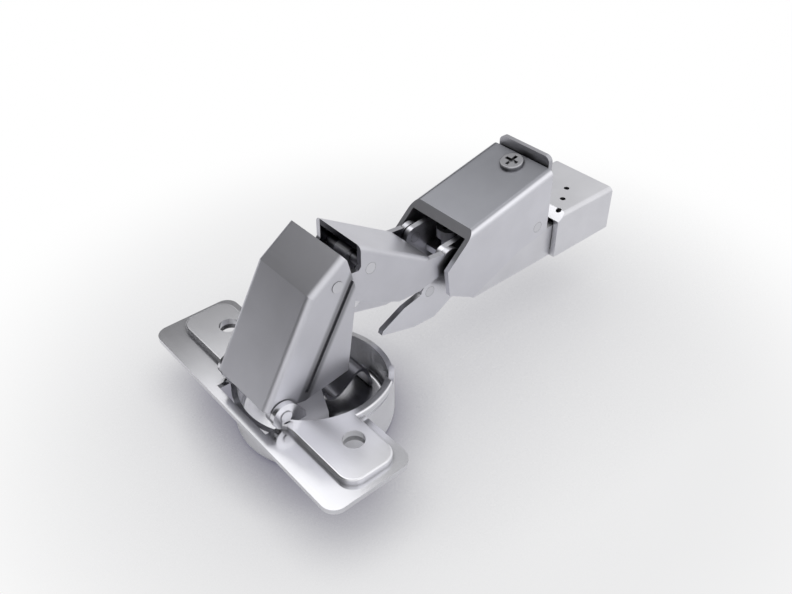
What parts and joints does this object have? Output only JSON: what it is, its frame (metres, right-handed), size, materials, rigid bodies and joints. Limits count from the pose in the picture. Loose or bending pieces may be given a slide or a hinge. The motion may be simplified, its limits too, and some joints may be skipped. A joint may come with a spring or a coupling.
{
  "type": "concealed cabinet hinge",
  "caption": "Wide-opening concealed cabinet hinge: drawn cup with wing flange, folded links, raised arm with cover and an in-line mounting base.",
  "frame": {"origin": "midway between the mounting base's two screw holes, on its underside", "axes": "+X along the arm away from the cup, +Y along the hinge axis, +Z away from the cabinet wall"},
  "size_m": [0.1066, 0.066, 0.0452],
  "materials": {
    "bright_plate": "bright nickel plate",
    "plate": "bright nickel plate",
    "dark_plate": "satin nickel plate",
    "cast": "nickel plate",
    "pin_steel": "ground",
    "screw_steel": "zinc plate",
    "spring_steel": "blued"
  },
  "bodies": {
    "base": {"mounting_base": "cast"},
    "arm": {"arm_channel": "bright_plate", "arm_inner": "bright_plate", "arm_rivets": "pin_steel", "crank_pins": "pin_steel", "lever_pin": "pin_steel", "lever_spring": "spring_steel"},
    "depth_screw": {"depth_screw": "screw_steel"},
    "side_screw": {"side_screw": "screw_steel"},
    "release_lever": {"release_lever": "bright_plate"},
    "mid_link": {"mid_link": "bright_plate", "knee_rivets": "pin_steel", "mid_link_pin": "pin_steel"},
    "outer_link": {"outer_link": "dark_plate"},
    "cup": {"hinge_cup": "plate", "door_plate": "plate", "cup_bracket": "cast", "closing_spring": "spring_steel", "cup_rivets": "pin_steel", "inner_link_pin": "pin_steel"},
    "inner_link": {"inner_link": "bright_plate", "control_pin": "pin_steel"},
    "control_link": {"control_link": "bright_plate"}
  },
  "joints": [
    {"name": "depth_adjust", "type": "slide", "parent": "base", "child": "arm", "axis": [1, 0, 0], "range_m": [-0.0015, 0.0015]},
    {"name": "depth_screw_turn", "type": "hinge", "parent": "arm", "child": "depth_screw", "pos_m": [-0.0054, 0, 0.02482], "axis": [-0.225, 0, 0.9744], "range_deg": [-180, 180]},
    {"name": "side_screw_turn", "type": "hinge", "parent": "arm", "child": "side_screw", "pos_m": [-0.0245, 0, 0.016], "axis": [0, 0, 1], "range_deg": [-180, 180]},
    {"name": "lever_pivot", "type": "hinge", "parent": "arm", "child": "release_lever", "pos_m": [-0.0054, 0, 0.0121], "axis": [0, 1, 0], "range_deg": [0, 12], "stiffness_Nm_per_rad": 0.05},
    {"name": "fold", "type": "hinge", "parent": "arm", "child": "mid_link", "pos_m": [-0.0309, 0, 0.0136], "axis": [0, -1, 0], "range_deg": [-90, 55]},
    {"name": "knee", "type": "hinge", "parent": "mid_link", "child": "outer_link", "pos_m": [-0.0625, 0, 0.0231], "axis": [0, 1, 0], "range_deg": [-90, 55]},
    {"name": "cup_swing", "type": "hinge", "parent": "outer_link", "child": "cup", "pos_m": [-0.0776, 0, -0.0004], "axis": [0, -1, 0], "range_deg": [-90, 55]},
    {"name": "inner_swing", "type": "hinge", "parent": "cup", "child": "inner_link", "pos_m": [-0.0681, 0, -0.0014], "axis": [0, 1, 0], "range_deg": [-90, 55]},
    {"name": "control_swing", "type": "hinge", "parent": "arm", "child": "control_link", "pos_m": [-0.03549, 0, 0.00645], "axis": [0, -1, 0], "range_deg": [-90, 55]}
  ],
  "couplings": [
    {"joint": "knee", "follows": "fold", "ratio": 1},
    {"joint": "cup_swing", "follows": "fold", "ratio": 1},
    {"joint": "inner_swing", "follows": "fold", "ratio": 1},
    {"joint": "control_swing", "follows": "fold", "ratio": 1}
  ]
}
